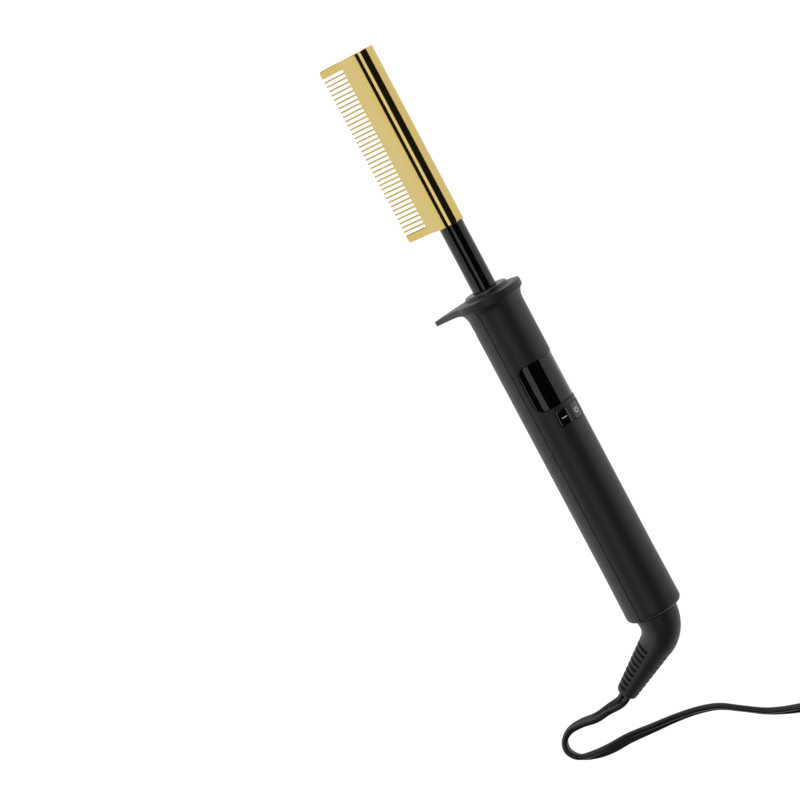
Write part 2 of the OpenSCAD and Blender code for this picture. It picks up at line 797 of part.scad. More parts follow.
// A slice of the handle's space on the front side, from one angle to the other
module wedge(x0, x1, half_angle) {
    far = 2 * handle_r;
    along_x(x0, x1) polygon([
        [0, 0], far * [sin(half_angle), cos(half_angle)], [far, far], [-far, far],
        far * [-sin(half_angle), cos(half_angle)]
    ]);
}

module display_lens() color("#0c0c0d") lay_down()
    window(lens_start, lens_end, lens_half_angle, lens_corner, lens_r - lens_t, lens_r);

module lcd_module() color("#39404a") lay_down()
    block([lens_mid - lcd_l / 2, -lcd_w / 2, lcd_seat],
        [lens_mid + lcd_l / 2, lcd_w / 2, lcd_seat + lcd_t]);

module lcd_holder() color("#e6e6e2") lay_down() difference() {
    half_l = lcd_l / 2 + fit;
    half_w = lcd_w / 2 + fit;
    shelf = 1.5;
    block([lens_mid - half_l - holder_wall, -half_w - holder_wall, board_top],
        [lens_mid + half_l + holder_wall, half_w + holder_wall, holder_top]);
    block([lens_mid - half_l, -half_w, lcd_seat], [lens_mid + half_l, half_w, holder_top + 1]);
    block([lens_mid - half_l + shelf, -half_w + shelf, 0],
        [lens_mid + half_l - shelf, half_w - shelf, lcd_seat + 1]);
}

/* ---------- circuit board ---------- */

module circuit_board() color("#2f5d3a") lay_down() difference() {
    block([board_start, -board_w / 2, board_bottom], [board_end, board_w / 2, board_top]);
    for (p = post_places) translate([p[0], p[1], board_bottom - overlap])
        cylinder(r = board_screw_d / 2 + screw_play, h = board_t + 2 * overlap);
}

module board_screws() color("#8d9094") lay_down()
    for (p = post_places) translate([p[0], p[1], board_bottom])
        screw(board_screw_d, board_screw_head_d, board_screw_head_h, board_screw_l);

module controller_chip() color("#18191b") lay_down()
    block([lens_mid - 5, -5, board_bottom - 1.6], [lens_mid + 5, 5, board_bottom]);

module triac() color("#202124") lay_down()
    block([board_start + 6, -8, board_bottom - 4.4], [board_start + 16, 2, board_bottom]);

module smoothing_capacitor() color("#27324a") lay_down()
    rod(board_start + 6, board_start + 18, 3, 0, board_top + 3);

module switch_housings() color("#202124") lay_down() for (i = [0:2]) difference() {
    y = (1 - i) * switch_y;
    block([key_mid - switch_w / 2, y - switch_w / 2, board_top],
        [key_mid + switch_w / 2, y + switch_w / 2, switch_top]);
    translate([key_mid, y, stem_low - key_travel - 0.1])
        cylinder(r = stem_d / 2 + stem_play, h = switch_h);
}

/* ---------- keys ---------- */

// The straight-sided space over one key, grown by a gap all round
module key_prism(i, gap = 0) {
    a = key_angles[i];
    y0 = handle_r * sin(a - key_arc / 2);
    y1 = handle_r * sin(a + key_arc / 2);
    translate([0, 0, lip_floor]) linear_extrude(handle_r)
        rounded([key_start - gap, y0 - gap], [key_start + key_l + gap, y1 + gap], key_corner);
}

// A key's cap with its lips under the shell, and the post down to its switch
module key_cap(i) {
    a = key_angles[i];
    y = (1 - i) * switch_y;
    y0 = handle_r * sin(a - key_arc / 2);
    y1 = handle_r * sin(a + key_arc / 2);
    difference() {
        union() {
            intersection() {
                key_prism(i);
                rod(key_start - 1, key_start + key_l + 1, key_r);
            }
            intersection() {
                block([key_start - key_lip, y0, lip_floor], [key_start + key_l + key_lip, y1, handle_r]);
                rod(key_start - 2, key_start + key_l + 2, lip_r);
            }
        }
        rod(key_start - 3, key_start + key_l + 3, lip_r - lip_t);
    }
    intersection() {
        block([key_mid - 1.5, y - 1.3, stem_top], [key_mid + 1.5, y + 1.3, handle_r]);
        rod(key_start, key_start + key_l, lip_r - lip_t / 2);
    }
}

module key_stem(i) {
    translate([key_mid, (1 - i) * switch_y, stem_low])
        cylinder(d = stem_d, h = stem_top - stem_low);
}

module key_minus() color("#0f0f10") lay_down() key_cap(0);
module key_power() color("#0f0f10") lay_down() key_cap(1);
module key_plus() color("#0f0f10") lay_down() key_cap(2);
module stem_minus() color("#c8c3b4") lay_down() key_stem(0);
module stem_power() color("#c8c3b4") lay_down() key_stem(1);
module stem_plus() color("#c8c3b4") lay_down() key_stem(2);

/* ---------- swivel ---------- */

module swivel_bush() color("#d8d6cf") lay_down() difference() {
    rod(bush_start, bush_end, bush_d / 2);
    rod(bush_start - overlap, bush_end + overlap, spindle_r + swivel_clearance);
}

module swivel_spindle() color("#b9b7b0") lay_down() difference() {
    turned([
        [0, -boot_gap], [spindle_r, -boot_gap], [spindle_r, spindle_flange_start],
        [spindle_flange_r, spindle_flange_start], [spindle_flange_r, hub_start],
        [hub_r, hub_start], [hub_r, hub_end], [0, hub_end]
    ]);
    rod(-boot_gap - overlap, hub_end + overlap, hub_bore_r);
}

module slip_rings() color("#c98f4e") lay_down() for (x = ring_starts) difference() {
    rod(x, x + ring_l, ring_r);
    rod(x - overlap, x + ring_l + overlap, hub_r);
}

// Block on the rear shell that carries the two contact springs
module brush_holder() color("#3a3c40") lay_down() intersection() {
    block([hub_end - 9.5, -brush_holder_half, -handle_r],
        [hub_end - 1.5, brush_holder_half, brush_holder_top]);
    rod(0, nose_start, bore_r);
}

// Each spring is a strip bent up to its slip ring
module contact_springs() color("#d2a55f") lay_down() for (x = ring_starts)
    along_x(x + (ring_l - brush_l) / 2, x + (ring_l + brush_l) / 2) polygon([
        [-brush_holder_half, brush_holder_top], [-brush_foot + 0.5, brush_holder_top],
        [-1.2, brush_top - brush_t], [1.2, brush_top - brush_t],
        [brush_foot - 0.5, brush_holder_top], [brush_holder_half, brush_holder_top],
        [brush_holder_half, brush_holder_top + brush_t], [brush_foot - 0.8, brush_holder_top + brush_t],
        [1.4, brush_top], [-1.4, brush_top],
        [-brush_foot + 0.8, brush_holder_top + brush_t], [-brush_holder_half, brush_holder_top + brush_t]
    ]);

module mains_wires() color("#2a2b2d") lay_down() for (i = [0, 1]) {
    side = 2 * i - 1;
    wire([ring_starts[i] + ring_l / 2, side * mains_wire_y, brush_holder_top + brush_t + heater_wire_d / 2],
        [board_start + 4, side * mains_wire_y, board_bottom - heater_wire_d / 2], heater_wire_d);
}

/* ---------- boot ---------- */

// One ring of the boot, across its path at a point with the given heading
function boot_ring(at, heading, r, depth) = [
    for (j = [0:boot_sides - 1])
        let (
            a = 360 * j / boot_sides,
            off_side = abs((a - rib_turn + 360) % 180 - 90),
            cut = off_side < rib_side ? depth : 0,
            across = (r - cut) * sin(a),
            up = (r - cut) * cos(a)
        )
        [at[0] - across * heading[1], at[1] + across * heading[0], up]
];

function boot_r(s) = (boot_root_d + (boot_mid_d - boot_root_d) * s) / 2;

module swivel_boot() color("#303134") {
    arc_share = 1 / boot_arc_steps;
    bend_l = boot_bend_r * boot_bend * PI / 180;
    run_l = bend_l + boot_plain_l;
    arc_rings = [
        for (i = [0:boot_arc_steps])
            let (a = boot_bend * i * arc_share)
                boot_ring(boot_arc_mid + boot_bend_r * [-sin(a), -cos(a)], [-cos(a), sin(a)],
                    boot_r(i * arc_share * bend_l / run_l), 0)
    ];
    ribs_start = boot_arc_end + boot_plain_l * boot_run;
    groove_l = rib_pitch * 0.5;
    rib_rings = [
        for (i = [0:rib_count - 1], part = [0:3])
            let (
                s = 1 + i * rib_pitch + [0, 0.25, groove_l, groove_l + 0.25][part],
                r = (boot_mid_d + (boot_tip_d - boot_mid_d) * s / boot_ribbed_l) / 2
            )
            boot_ring(ribs_start + s * boot_run, boot_run, r, part == 1 || part == 2 ? rib_depth : 0)
    ];
    translate([-rest_x_mid, -rest_y_mid, rest_height]) rotate([0, -rest_pitch, 0])
        rotate([-boot_dip, 0, 0]) tube(concat(
            [boot_ring([-boot_gap, 0], [-1, 0], boot_root_d / 2, 0)],
            arc_rings,
            [boot_ring(ribs_start, boot_run, boot_mid_d / 2, 0)],
            rib_rings,
            [boot_ring(boot_tip, boot_run, boot_tip_d / 2, 0)]
        ));
}

/* ---------- mains lead ---------- */

// The cord's own outline: two round lobes with a groove between them
cord_section = concat(
    [for (a = [-72:36:72]) [cord_offset + cord_lobe * cos(a), cord_lobe * sin(a)]],
    [[0, cord_lobe * cord_groove]],
    [for (a = [108:36:252]) [-cord_offset + cord_lobe * cos(a), cord_lobe * sin(a)]],
    [[0, -cord_lobe * cord_groove]]
);
coil_section = [
    for (side = [1, -1], p = [[0.6, -1], [1, 0], [0.6, 1]])
        side * [p[0] * cord_w / 2, p[1] * cord_lobe]
];

function unit(v) = v / norm(v);

// A section set square across the cord, tilted up on edge by an angle
function cord_ring(section, at, heading, tilt) =
    let (
        t = unit(heading),
        flat = unit([-t[1], t[0], 0]),
        side = flat * cos(tilt) + cross(t, flat) * sin(tilt),
        up = cross(t, side)
    )
    [for (p = section) at + p[0] * side + p[1] * up];

// Where the cord leaves the boot, and its heading there
exit_flat = pitched([boot_run[0], boot_run[1] * cos(boot_dip), -boot_run[1] * sin(boot_dip)]);
exit_point = laid([boot_tip[0], boot_tip[1] * cos(boot_dip), -boot_tip[1] * sin(boot_dip)]);
exit_tilt = 12;

// Start and end of the coil, and its heading there
coil_heading = [-sin(coil_start_angle), cos(coil_start_angle), 0];
coil_start = [
    coil_mid[0] + coil_line_r * cos(coil_start_angle),
    coil_mid[1] + coil_line_r * sin(coil_start_angle), coil_low
];
coil_lead = coil_start - cord_w * coil_heading;
coil_end_heading = [-sin(coil_end_angle), cos(coil_end_angle), 0];
coil_end = [
    coil_mid[0] + coil_line_r * cos(coil_end_angle),
    coil_mid[1] + coil_line_r * sin(coil_end_angle), coil_low + coil_layer
];
plug_start = coil_end + coil_tail_l * coil_end_heading;

cord_line = concat(
    [concat(exit_point, exit_tilt), concat(exit_point + cord_w * exit_flat, exit_tilt)],
    [for (p = route) [p[0], p[1], p[2] + cord_floor + cord_lobe + cord_offset * sin(p[3]), p[3]]],
    [concat(coil_lead - cord_w * coil_heading, 0), concat(coil_lead, 0)]
);

// A smooth curve through the line's points, and its heading
function point_on(line, i, t) =
    let (
        last = len(line) - 1,
        a = line[max(i - 1, 0)], b = line[i], c = line[min(i + 1, last)], d = line[min(i + 2, last)]
    )
    0.5 * (2 * b + (c - a) * t + (2 * a - 5 * b + 4 * c - d) * t * t
        + (3 * b - a - 3 * c + d) * t * t * t);

function heading_on(line, i, t) =
    let (
        last = len(line) - 1,
        a = line[max(i - 1, 0)], b = line[i], c = line[min(i + 1, last)], d = line[min(i + 2, last)],
        v = (c - a) + 2 * (2 * a - 5 * b + 4 * c - d) * t + 3 * (3 * b - a - 3 * c + d) * t * t
    )
    [v[0], v[1], v[2]];

module mains_cord() color("#232426") {
    last = len(cord_line) - 1;
    tube(concat(
        [
            for (i = [0:last - 1], k = [0:cord_steps - 1])
                let (t = k / cord_steps, p = point_on(cord_line, i, t))
                    cord_ring(cord_section, [p[0], p[1], p[2]],
                        i == 0 ? exit_flat : heading_on(cord_line, i, t), p[3])
        ],
        [cord_ring(cord_section, coil_lead, coil_heading, 0)]
    ));
}

function coil_radius(turn) =
    coil_line_r - coil_pitch * (layer_sweep - abs(turn - layer_sweep)) / 360;

// How far the coil's line has spiralled in, risen a layer, and risen over the tie
function coil_point(turn) =
    let (
        r = coil_radius(turn),
        climb = min(max((turn - layer_sweep) / climb_sweep + 1, 0), 1),
        a = coil_start_angle + turn,
        from_tie = abs((a - tie_angle + 900) % 360 - 180),
        ease = min(max((45 - from_tie) / 30, 0), 1),
        over_tie = tie_lift * ease * ease * (3 - 2 * ease)
    )
    [coil_mid[0] + r * cos(a), coil_mid[1] + r * sin(a),
     coil_low + coil_layer * climb * climb * (3 - 2 * climb) + over_tie];

module cord_coil() color("#232426") {
    steps = coil_sweep / coil_step;
    tube(concat(
        [cord_ring(coil_section, coil_lead, coil_heading, 0)],
        [
            for (i = [0:steps])
                let (
                    a = i * coil_step,
                    before = coil_point(max(a - 2, 0)),
                    after = coil_point(min(a + 2, coil_sweep))
                )
                cord_ring(coil_section, coil_point(a), after - before, 0)
        ],
        [cord_ring(coil_section, plug_start, coil_end_heading, 0)]
    ));
    // Least gap from the coil to itself, between the nearest lobes of any two of its turns
    gaps = [
        for (i = [0:coil_sweep / 5 - 72], turns = [1:7])
            let (
                here = coil_point(i * 5), there = coil_point(i * 5 + 360 * turns),
                apart = abs(norm([here[0], here[1]] - [coil_mid[0], coil_mid[1]])
                    - norm([there[0], there[1]] - [coil_mid[0], coil_mid[1]]))
            )
            if (i * 5 + 360 * turns <= coil_sweep)
                norm([max(apart - 2 * cord_offset, 0), there[2] - here[2]]) - cord_t
    ];
    echo(coil_gap = min(gaps));
}

module cord_tie() color("#17181a") {
    held = [for (turn = [tie_turn:360:coil_sweep]) coil_radius(turn)];
    high_r = max(held) + cord_w / 2 + tie_play;
    low_r = min(held) - cord_w / 2 - tie_play;
    top = tie_lift + cord_floor + 2 * cord_t + layer_gap + tie_play;
    translate([coil_mid[0], coil_mid[1], 0]) rotate([0, 0, tie_angle])
        translate([0, tie_w / 2, 0]) rotate([90, 0, 0]) linear_extrude(tie_w) difference() {
            rounded([low_r - tie_t, 0], [high_r + tie_t, top + tie_t], 1.5);
            rounded([low_r, tie_t], [high_r, top], 0.5);
        }
}

// The plug lies flat beyond the coil, in line with the cord's straight end
module along_plug() {
    translate(plug_start) rotate([0, 0, coil_end_angle + 90]) children();
}

module plug_body() color("#1d1e20") along_plug() {
    half_w = plug_w / 2;
    half_t = plug_t / 2;
    tail_half = cord_w / 2 + 1.2;
    intersection() {
        translate([0, 0, -half_t]) linear_extrude(plug_t) polygon(concat(
            [[0, -tail_half], [plug_tail_l * 0.7, -tail_half - 1]],
            arc([plug_tail_l + 3, -half_w + 3], 3, 225, 270, 4),
            arc([plug_tail_l + plug_l - 2, -half_w + 2], 2, 270, 360, 4),
            arc([plug_tail_l + plug_l - 2, half_w - 2], 2, 0, 90, 4),
            arc([plug_tail_l + 3, half_w - 3], 3, 90, 135, 4),
            [[plug_tail_l * 0.7, tail_half + 1], [0, tail_half]]
        ));
        translate([0, half_w, 0]) rotate([90, 0, 0]) linear_extrude(plug_w) polygon([
            [0, -cord_t / 2 - 1.2], [plug_tail_l, -half_t], [plug_tail_l + plug_l, -half_t],
            [plug_tail_l + plug_l, half_t], [plug_tail_l, half_t], [0, cord_t / 2 + 1.2]
        ]);
    }
}

module plug_blades() color("#c9b26a") along_plug() for (side = [-1, 1]) {
    w = side > 0 ? blade_wide_w : blade_w;
    start = plug_tail_l + plug_l;
    block([start, side * blade_pitch / 2 - blade_t / 2, -w / 2],
        [start + blade_l, side * blade_pitch / 2 + blade_t / 2, w / 2]);
}

front_shell();
rear_shell();
neck_tube();
neck_collar();
comb_head();
heater_rod();
temperature_sensor();
thermal_fuse();
heater_wires();
sensor_wires();
display_lens();
lcd_module();
lcd_holder();
circuit_board();
board_screws();
controller_chip();
triac();
smoothing_capacitor();
switch_housings();
key_minus();
key_power();
key_plus();
stem_minus();
stem_power();
stem_plus();
case_screws();
swivel_bush();
swivel_spindle();
slip_rings();
brush_holder();
contact_springs();
mains_wires();
swivel_boot();
mains_cord();
cord_coil();
cord_tie();
plug_body();
plug_blades();
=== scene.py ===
"""An electric hot comb, dressed for its photograph: a gilt comb on a black enamelled neck, a
matt two-shell handle with a finger guard, a dark display window, three push keys, and a
flat twin lead that leaves a ribbed boot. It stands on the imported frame, in metres."""

import json
import math

import bpy
from mathutils import Matrix, Vector


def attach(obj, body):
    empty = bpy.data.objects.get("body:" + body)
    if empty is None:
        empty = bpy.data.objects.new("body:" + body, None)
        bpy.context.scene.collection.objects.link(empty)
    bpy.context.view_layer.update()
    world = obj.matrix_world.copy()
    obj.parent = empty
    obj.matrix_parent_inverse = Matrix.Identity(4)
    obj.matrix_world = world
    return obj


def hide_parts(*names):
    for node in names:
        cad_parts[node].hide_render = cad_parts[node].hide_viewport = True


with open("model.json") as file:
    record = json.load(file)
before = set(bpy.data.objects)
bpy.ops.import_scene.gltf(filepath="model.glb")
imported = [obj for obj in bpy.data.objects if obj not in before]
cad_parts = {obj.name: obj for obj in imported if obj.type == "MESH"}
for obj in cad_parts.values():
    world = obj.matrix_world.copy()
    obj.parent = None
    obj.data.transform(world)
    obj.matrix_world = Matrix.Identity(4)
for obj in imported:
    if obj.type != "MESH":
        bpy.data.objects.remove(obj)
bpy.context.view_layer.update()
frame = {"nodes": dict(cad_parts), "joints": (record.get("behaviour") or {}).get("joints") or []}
MM = 0.001
nodes = frame["nodes"]
joints = {joint["name"]: joint for joint in frame["joints"]}

# ---------- where the tool lies ----------

along_tool = Vector(joints["boot_swivel"]["axis"]).normalized()
keys_face = -Vector(joints["press_power"]["axis"]).normalized()
handle_end = Vector(joints["boot_swivel"]["pos_m"])


def axes(x, y, z, at):
    """Turns a piece's own millimetres into the frame's metres."""
    turned = Matrix((x, y, z)).transposed().to_4x4()
    turned.translation = at
    return turned @ Matrix.Scale(MM, 4)


# X runs from the handle's end to the comb's tip, the keys face Z and the teeth face -Z
TOOL = axes(along_tool, keys_face.cross(along_tool), keys_face, handle_end)
TABLE = Matrix.Scale(MM, 4)


def steps(low, high, count):
    return [low + (high - low) * i / count for i in range(count + 1)]


def ease(share):
    share = min(max(share, 0), 1)
    return share * share * (3 - 2 * share)


# ---------- camera ----------

camera = bpy.data.objects.new("photo_camera", bpy.data.cameras.new("photo_camera"))
bpy.context.scene.collection.objects.link(camera)
camera.data.lens = 113.8
camera.data.sensor_width = 36
camera.location = (0.140419, -0.258281, 1.182142)
camera.rotation_euler = [math.radians(a) for a in (-13.1275, 10.0784, -118.3154)]
bpy.context.scene.camera = camera

# ---------- mesh making ----------


def make(name, points, faces, place, sharp=38):
    """A smooth mesh, with its edges kept crisp where they turn by more than some degrees."""
    mesh = bpy.data.meshes.new(name)
    mesh.from_pydata([place @ Vector(p) for p in points], [], faces)
    mesh.validate()
    mesh.shade_smooth()
    mesh.set_sharp_from_angle(angle=math.radians(sharp))
    piece = bpy.data.objects.new(name, mesh)
    bpy.context.scene.collection.objects.link(piece)
    return piece


def skin(rings, looped=False):
    """Points and faces of a tube through equal rings, with flat ends unless it is looped."""
    n = len(rings[0])
    points = [p for ring in rings for p in ring]
    pairs = [(i, i + 1) for i in range(len(rings) - 1)] + ([(len(rings) - 1, 0)] if looped else [])
    faces = [
        (a * n + j, a * n + (j + 1) % n, b * n + (j + 1) % n, b * n + j)
        for a, b in pairs for j in range(n)
    ]
    if not looped:
        faces += [tuple(range(n - 1, -1, -1)), tuple(range((len(rings) - 1) * n, len(rings) * n))]
    return points, faces


def turned(outline, count=128):
    """Points and faces of a closed outline of [x, radius], turned round the tool's axis."""
    rings = [
        [(x, r * math.sin(a), r * math.cos(a)) for x, r in outline]
        for a in steps(0, 2 * math.pi, count)[:-1]
    ]
    return skin(rings, looped=True)


def quarter(mid, radius, start, count=5):
    """Points of a quarter circle, from some angle in degrees."""
    return [
        (mid[0] + radius * math.cos(math.radians(a)), mid[1] + radius * math.sin(math.radians(a)))
        for a in steps(start, start + 90, count)
    ]


# ---------- mains lead: the same route as the solids ----------

CORD_W, CORD_T = 6.1, 3.1
LOBE, LOBE_OUT = CORD_T / 2, (CORD_W - CORD_T) / 2
FLOOR_GAP = 0.05
EXIT_TILT = 12
BOOT_DIP, BOOT_BEND, BOOT_BEND_R = 13.5, math.radians(56), 16.5
BOOT_GAP, BOOT_STRAIGHT, BOOT_PLAIN, BOOT_RIBBED = 0.3, 1.5, 1.5, 31.3
BOOT_ROOT_R, BOOT_MID_R, BOOT_TIP_R = 10.65, 8.35, 5.2
# Nine round-ended grooves on each side, turned about the boot by a small angle
RIBS, RIB_PITCH, RIB_W, RIB_DEPTH, RIB_FIRST = 9, 3.2, 1.9, 1.2, 0.9
RIB_TURN, RIB_REACH = math.radians(25), math.radians(60)
BEND_L = BOOT_BEND_R * BOOT_BEND
BOOT_L = BOOT_STRAIGHT + BEND_L + BOOT_PLAIN + BOOT_RIBBED

# The boot bends in a plane of its own, which dips below the level about the handle's axis
boot_up = along_tool.cross(Vector((0, 1, 0)))
BOOT = axes(along_tool, boot_up.cross(along_tool), boot_up, handle_end) @ Matrix.Rotation(
    math.radians(-BOOT_DIP), 4, "X")


def boot_at(s):
    """The boot's middle line in its own plane: point and heading, at a length from its root."""
    bend = min(max(s - BOOT_STRAIGHT, 0), BEND_L) / BOOT_BEND_R
    rest = max(s - BOOT_STRAIGHT - BEND_L, 0)
    ahead = Vector((-math.cos(bend), math.sin(bend), 0))
    at = Vector((
        -BOOT_GAP - min(s, BOOT_STRAIGHT) - BOOT_BEND_R * math.sin(bend),
        BOOT_BEND_R * (1 - math.cos(bend)), 0,
    ))
    return at + rest * ahead, ahead


# The lead's points along the table: x, y, lift above it, and tilt in degrees from lying flat
ROUTE = [
    (-189.5, 39, 1, 55), (-191, 46.5, 0, 62), (-190.5, 54.5, 0, 75), (-191.5, 61.5, 0, 86),
    (-195.2, 66.2, 0, 90), (-200.8, 67.3, 0, 88), (-205.8, 63.5, 0, 74), (-208, 56, 0, 42),
    (-208.5, 47, 0, 18), (-207.5, 36.5, 0, 20), (-207.5, 23.5, 0, 36), (-207.5, 11, 0, 48),
    (-208.5, -1, 0, 55), (-211, -11, 0, 60), (-216.5, -20.5, 0, 66), (-223, -31.5, 0, 60),
    (-227.5, -44, 0, 42), (-232, -62, 0, 15), (-238, -84, 0, 0),
]
# The coil's middle, its ends in degrees round it, its outer radius and what each turn takes off
COIL_MID = Vector((-198, -120.5, 0))
COIL_START, COIL_END, COIL_R, TURN_PITCH = 175, 280, 45.45, 6.7
COIL_LOW, COIL_LAYER = LOBE + FLOOR_GAP, 3.75
LAYER_SWEEP, CLIMB_SWEEP = 1132.5, 45
COIL_SWEEP = 2 * LAYER_SWEEP
COIL_TAIL = 26
TIE_TURN, TIE_W, TIE_T, TIE_PLAY = 270, 7, 1.2, 0.45


def toward(degrees):
    return Vector((math.cos(math.radians(degrees)), math.sin(math.radians(degrees)), 0))


def coil_radius(turn):
    return COIL_R - TURN_PITCH * (LAYER_SWEEP - abs(turn - LAYER_SWEEP)) / 360


def coil_at(turn):
    """The coil's line: in along the table, up, and out again on top, rising over the tie."""
    from_tie = abs((turn - TIE_TURN + 900) % 360 - 180)
    rise = COIL_LAYER * ease((turn - LAYER_SWEEP) / CLIMB_SWEEP + 1)
    rise += (TIE_T + FLOOR_GAP) * ease((45 - from_tie) / 30)
    out = coil_radius(turn) * toward(COIL_START + turn)
    return COIL_MID + out + Vector((0, 0, COIL_LOW + rise))


def lead_line():
    """Points of the whole lead with their tilt, from the boot to the plug."""
    to_mm = TABLE.inverted()
    tip, ahead = boot_at(BOOT_L)
    leaves = to_mm @ (BOOT @ tip)
    heading = (BOOT.to_3x3() @ ahead).normalized()
    coil_heading, plug_heading = toward(COIL_START + 90), toward(COIL_END + 90)
    coil_lead = coil_at(0) - CORD_W * coil_heading
    plug_at = coil_at(COIL_SWEEP) + COIL_TAIL * plug_heading
    knots = [(leaves, EXIT_TILT), (leaves + CORD_W * heading, EXIT_TILT)]
    for x, y, lift, tilt in ROUTE:
        height = lift + FLOOR_GAP + LOBE + LOBE_OUT * math.sin(math.radians(tilt))
        knots.append((Vector((x, y, height)), tilt))
    knots += [(coil_lead - CORD_W * coil_heading, 0), (coil_lead, 0)]
    line = []
    for i in range(len(knots) - 1):
        (a, ta), (b, tb) = knots[max(i - 1, 0)], knots[i]
        (c, tc), (d, td) = knots[i + 1], knots[min(i + 2, len(knots) - 1)]
        for t in steps(0, 1, 6)[:-1]:
            w = (
                -t / 2 + t * t - t ** 3 / 2, 1 - 2.5 * t * t + 1.5 * t ** 3,
                t / 2 + 2 * t * t - 1.5 * t ** 3, (t ** 3 - t * t) / 2,
            )
            line.append((
                w[0] * a + w[1] * b + w[2] * c + w[3] * d,
                w[0] * ta + w[1] * tb + w[2] * tc + w[3] * td,
            ))
    line += [(coil_lead, 0)] + [(coil_at(t), 0) for t in steps(0, COIL_SWEEP, 378)]
    line += [(plug_at, 0), (plug_at + 2 * plug_heading, 0)]
    return line, leaves, plug_at


def twin_section():
    """The lead's outline: two round lobes with a groove between them."""
    half = [
        (LOBE_OUT + LOBE * math.cos(a), LOBE * math.sin(a))
        for a in steps(math.radians(-132), math.radians(132), 20)
    ]
    return [(0.12, -1.0)] + half + [(0.12, 1.0), (-0.12, 1.0)] + [
        (-y, z) for y, z in reversed(half)] + [(-0.12, -1.0)]


def lead_rings(line):
    section = twin_section()
    rings = []
    for i, (at, tilt) in enumerate(line):
        ahead = (line[min(i + 1, len(line) - 1)][0] - line[max(i - 1, 0)][0]).normalized()
        flat = Vector((-ahead.y, ahead.x, 0)).normalized()
        tilt = math.radians(tilt)
        side = flat * math.cos(tilt) + ahead.cross(flat) * math.sin(tilt)
        up = ahead.cross(side)
        rings.append([at + y * side + z * up for y, z in section])
    return rings


line, lead_leaves, plug_at = lead_line()
lead = make("twin_lead", *skin(lead_rings(line)), TABLE, sharp=50)

# ---------- boot ----------


def boot_radius(s):
    run = (s - BOOT_STRAIGHT) / (BEND_L + BOOT_PLAIN)
    if run < 1:
        return BOOT_ROOT_R + (BOOT_MID_R - BOOT_ROOT_R) * max(run, 0)
    return BOOT_MID_R + (BOOT_TIP_R - BOOT_MID_R) * (s - BOOT_L + BOOT_RIBBED) / BOOT_RIBBED


def boot_groove(s, off_side, r):
    """Depth of the round-ended grooves on the boot's two sides."""
    start = BOOT_L - BOOT_RIBBED + RIB_FIRST
    rib = min(max(math.floor((s - start) / RIB_PITCH), 0), RIBS - 1)
    from_mid = abs(s - start - rib * RIB_PITCH - RIB_W / 2)
    past_end = max(r * off_side - (r * RIB_REACH - RIB_W / 2), 0)
    inside = RIB_W / 2 - math.hypot(from_mid, past_end)
    return RIB_DEPTH * ease(inside / 0.3)


def boot_rings(count=120):
    edge = 0.7
    places = [(edge * (1 - math.cos(a)), edge * (1 - math.sin(a)))
              for a in steps(0, math.pi / 2, 4)[:-1]]
    places += [(s, 0) for s in steps(edge, BOOT_L - BOOT_RIBBED, 40)]
    places += [(s, 0) for s in steps(BOOT_L - BOOT_RIBBED + 0.1, BOOT_L - edge, 220)]
    places += [(BOOT_L - edge * (1 - math.sin(a)), edge * (1 - math.cos(a)))
               for a in steps(0, math.pi / 2, 4)[1:]]
    rings = []
    for s, lost in places:
        at, ahead = boot_at(s)
        side = Vector((-ahead.y, ahead.x, 0))
        r = boot_radius(s) - lost
        ring = []
        for a in steps(0, 2 * math.pi, count)[:-1]:
            off_side = abs((a - RIB_TURN) % math.pi - math.pi / 2)
            here = r - boot_groove(s, off_side, r)
            ring.append(at + here * math.sin(a) * side + Vector((0, 0, here * math.cos(a))))
        rings.append(ring)
    return rings


boot = make("ribbed_boot", *skin(boot_rings()), BOOT, sharp=60)

# ---------- tie and plug ----------


def round_box(half_w, half_h, corner, count=5):
    """Outline of a box with round corners, round its middle."""
    w, h = half_w - corner, half_h - corner
    mids = [(w, h, 0), (-w, h, 90), (-w, -h, 180), (w, -h, 270)]
    return [p for x, y, start in mids for p in quarter((x, y), corner, start, count)]


def tie_rings():
    """A soft strap round the coil: its own outline, carried round the bundle."""
    held = [coil_radius(turn) for turn in range(TIE_TURN, int(COIL_SWEEP), 360)]
    low = min(held) - CORD_W / 2 - TIE_PLAY
    high = max(held) + CORD_W / 2 + TIE_PLAY
    top = TIE_T + 2 * FLOOR_GAP + COIL_LAYER + CORD_T + TIE_PLAY
    mid = ((low + high) / 2, (TIE_T + top) / 2)
    loop = round_box((high - low + TIE_T) / 2, top / 2, 1.1, 6)
    rings = []
    for i, (x, z) in enumerate(loop):
        before, after = loop[i - 1], loop[(i + 1) % len(loop)]
        out = Vector((after[1] - before[1], before[0] - after[0])).normalized()
        rings.append([
            (mid[0] + x + t * out.x, w, mid[1] + z + t * out.y)
            for w, t in round_box(TIE_W / 2, TIE_T / 2, 0.45, 3)
        ])
    return rings


at_tie = Matrix.Translation(COIL_MID) @ Matrix.Rotation(
    math.radians(COIL_START + TIE_TURN), 4, "Z")
tie = make("coil_tie", *skin(tie_rings(), looped=True), TABLE @ at_tie, sharp=60)


